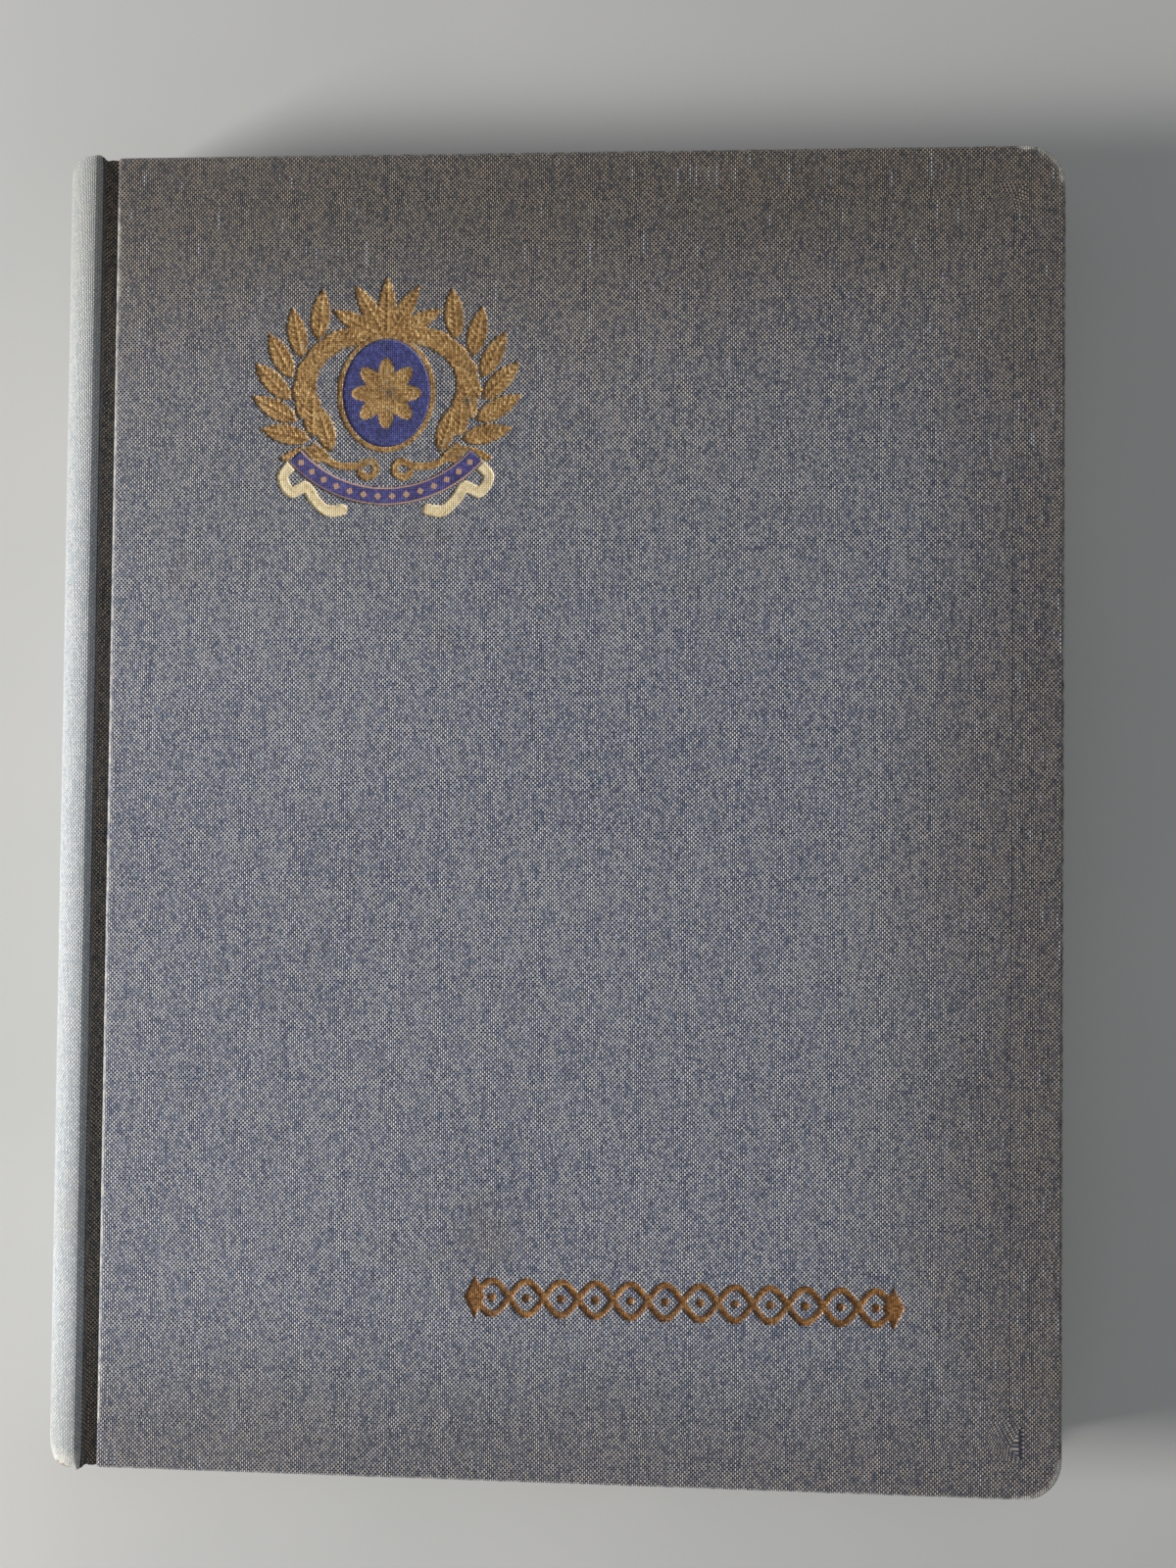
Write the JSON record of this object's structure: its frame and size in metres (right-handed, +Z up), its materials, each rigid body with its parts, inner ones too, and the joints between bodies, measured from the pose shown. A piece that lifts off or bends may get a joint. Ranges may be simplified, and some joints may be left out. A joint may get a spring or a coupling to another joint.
{
  "type": "stamp album",
  "caption": "Cloth-bound loose-leaf stamp album with a rounded hollow spine, hinged covers, screw posts and linen-hinged leaves.",
  "frame": {"origin": "middle of the closed album's footprint, on the surface that it lies on", "axes": "+X from the spine to the fore-edge, +Y from tail to head, +Z up through the front cover"},
  "size_m": [0.2372, 0.311, 0.0208],
  "materials": {
    "book_cloth": "blue-grey linen-weave book cloth",
    "greyboard": "grey bookbinder's board",
    "endpaper": "matt cream endpaper",
    "album_paper": "heavy cream album paper",
    "linen_tape": "unbleached linen tape",
    "brass_post": "plain turned brass",
    "gilt_foil": "worn gilt blocking foil, pressed into the cloth",
    "blue_enamel": "matt dark blue blocking foil",
    "cream_enamel": "matt cream blocking foil"
  },
  "bodies": {
    "back_cover": {"back_board": "greyboard", "back_cover_cloth": "book_cloth", "back_pastedown": "endpaper"},
    "leaf_block": {"spine_strip": "greyboard", "spine_cloth": "book_cloth", "spine_lining": "endpaper", "back_joint_cloth": "book_cloth", "front_joint_cloth": "book_cloth", "back_flap": "greyboard", "front_flap": "greyboard", "back_flap_hinge": "linen_tape", "front_flap_hinge": "linen_tape", "post_barrels": "brass_post", "post_screws": "brass_post", "binding_stubs": "album_paper", "back_linen_hinges": "linen_tape", "front_linen_hinges": "linen_tape"},
    "front_cover": {"front_board": "greyboard", "front_cover_cloth": "book_cloth", "front_pastedown": "endpaper", "crest_field": "blue_enamel", "crest_rosette": "gilt_foil", "crest_wreath": "gilt_foil", "crest_ribbon": "blue_enamel", "crest_ribbon_tails": "cream_enamel", "title_rule": "gilt_foil"},
    "leaf_section_01": {"leaf_section_01": "album_paper"},
    "leaf_section_02": {"leaf_section_02": "album_paper"},
    "leaf_section_03": {"leaf_section_03": "album_paper"},
    "leaf_section_04": {"leaf_section_04": "album_paper"},
    "leaf_section_05": {"leaf_section_05": "album_paper"},
    "leaf_section_06": {"leaf_section_06": "album_paper"},
    "leaf_section_07": {"leaf_section_07": "album_paper"},
    "leaf_section_08": {"leaf_section_08": "album_paper"},
    "leaf_section_09": {"leaf_section_09": "album_paper"},
    "leaf_section_10": {"leaf_section_10": "album_paper"},
    "leaf_section_11": {"leaf_section_11": "album_paper"},
    "leaf_section_12": {"leaf_section_12": "album_paper"}
  },
  "joints": [
    {"name": "back_groove", "type": "hinge", "parent": "back_cover", "child": "leaf_block", "pos_m": [-0.1058, 0, 0.0016], "axis": [0, -1, 0], "range_deg": [0, 90], "deforming": ["back_joint_cloth", "back_flap_hinge", "back_linen_hinges"]},
    {"name": "front_groove", "type": "hinge", "parent": "leaf_block", "child": "front_cover", "pos_m": [-0.1058, 0, 0.0184], "axis": [0, -1, 0], "range_deg": [0, 90], "deforming": ["front_joint_cloth", "front_flap_hinge", "front_linen_hinges"]},
    {"name": "leaf_section_01_fold", "type": "hinge", "parent": "leaf_block", "child": "leaf_section_01", "pos_m": [-0.0858, 0, 0.00395], "axis": [0, -1, 0], "range_deg": [-95, 0]},
    {"name": "leaf_section_02_fold", "type": "hinge", "parent": "leaf_block", "child": "leaf_section_02", "pos_m": [-0.08455, 0, 0.00505], "axis": [0, -1, 0], "range_deg": [-95, 0]},
    {"name": "leaf_section_03_fold", "type": "hinge", "parent": "leaf_block", "child": "leaf_section_03", "pos_m": [-0.0833, 0, 0.00615], "axis": [0, -1, 0], "range_deg": [-95, 0]},
    {"name": "leaf_section_04_fold", "type": "hinge", "parent": "leaf_block", "child": "leaf_section_04", "pos_m": [-0.08205, 0, 0.00725], "axis": [0, -1, 0], "range_deg": [-95, 0]},
    {"name": "leaf_section_05_fold", "type": "hinge", "parent": "leaf_block", "child": "leaf_section_05", "pos_m": [-0.0808, 0, 0.00835], "axis": [0, -1, 0], "range_deg": [-95, 0]},
    {"name": "leaf_section_06_fold", "type": "hinge", "parent": "leaf_block", "child": "leaf_section_06", "pos_m": [-0.07955, 0, 0.00945], "axis": [0, -1, 0], "range_deg": [-95, 0]},
    {"name": "leaf_section_07_fold", "type": "hinge", "parent": "leaf_block", "child": "leaf_section_07", "pos_m": [-0.07955, 0, 0.01055], "axis": [0, -1, 0], "range_deg": [0, 95]},
    {"name": "leaf_section_08_fold", "type": "hinge", "parent": "leaf_block", "child": "leaf_section_08", "pos_m": [-0.0808, 0, 0.01165], "axis": [0, -1, 0], "range_deg": [0, 95]},
    {"name": "leaf_section_09_fold", "type": "hinge", "parent": "leaf_block", "child": "leaf_section_09", "pos_m": [-0.08205, 0, 0.01275], "axis": [0, -1, 0], "range_deg": [0, 95]},
    {"name": "leaf_section_10_fold", "type": "hinge", "parent": "leaf_block", "child": "leaf_section_10", "pos_m": [-0.0833, 0, 0.01385], "axis": [0, -1, 0], "range_deg": [0, 95]},
    {"name": "leaf_section_11_fold", "type": "hinge", "parent": "leaf_block", "child": "leaf_section_11", "pos_m": [-0.08455, 0, 0.01495], "axis": [0, -1, 0], "range_deg": [0, 95]},
    {"name": "leaf_section_12_fold", "type": "hinge", "parent": "leaf_block", "child": "leaf_section_12", "pos_m": [-0.0858, 0, 0.01605], "axis": [0, -1, 0], "range_deg": [0, 95]}
  ],
  "couplings": [
    {"joint": "leaf_section_01_fold", "follows": "back_groove", "ratio": -1.05},
    {"joint": "leaf_section_02_fold", "follows": "back_groove", "ratio": -1.05},
    {"joint": "leaf_section_03_fold", "follows": "back_groove", "ratio": -1.05},
    {"joint": "leaf_section_04_fold", "follows": "back_groove", "ratio": -1.05},
    {"joint": "leaf_section_05_fold", "follows": "back_groove", "ratio": -1.05},
    {"joint": "leaf_section_06_fold", "follows": "back_groove", "ratio": -1.05},
    {"joint": "leaf_section_07_fold", "follows": "front_groove", "ratio": 1.05},
    {"joint": "leaf_section_08_fold", "follows": "front_groove", "ratio": 1.05},
    {"joint": "leaf_section_09_fold", "follows": "front_groove", "ratio": 1.05},
    {"joint": "leaf_section_10_fold", "follows": "front_groove", "ratio": 1.05},
    {"joint": "leaf_section_11_fold", "follows": "front_groove", "ratio": 1.05},
    {"joint": "leaf_section_12_fold", "follows": "front_groove", "ratio": 1.05}
  ]
}
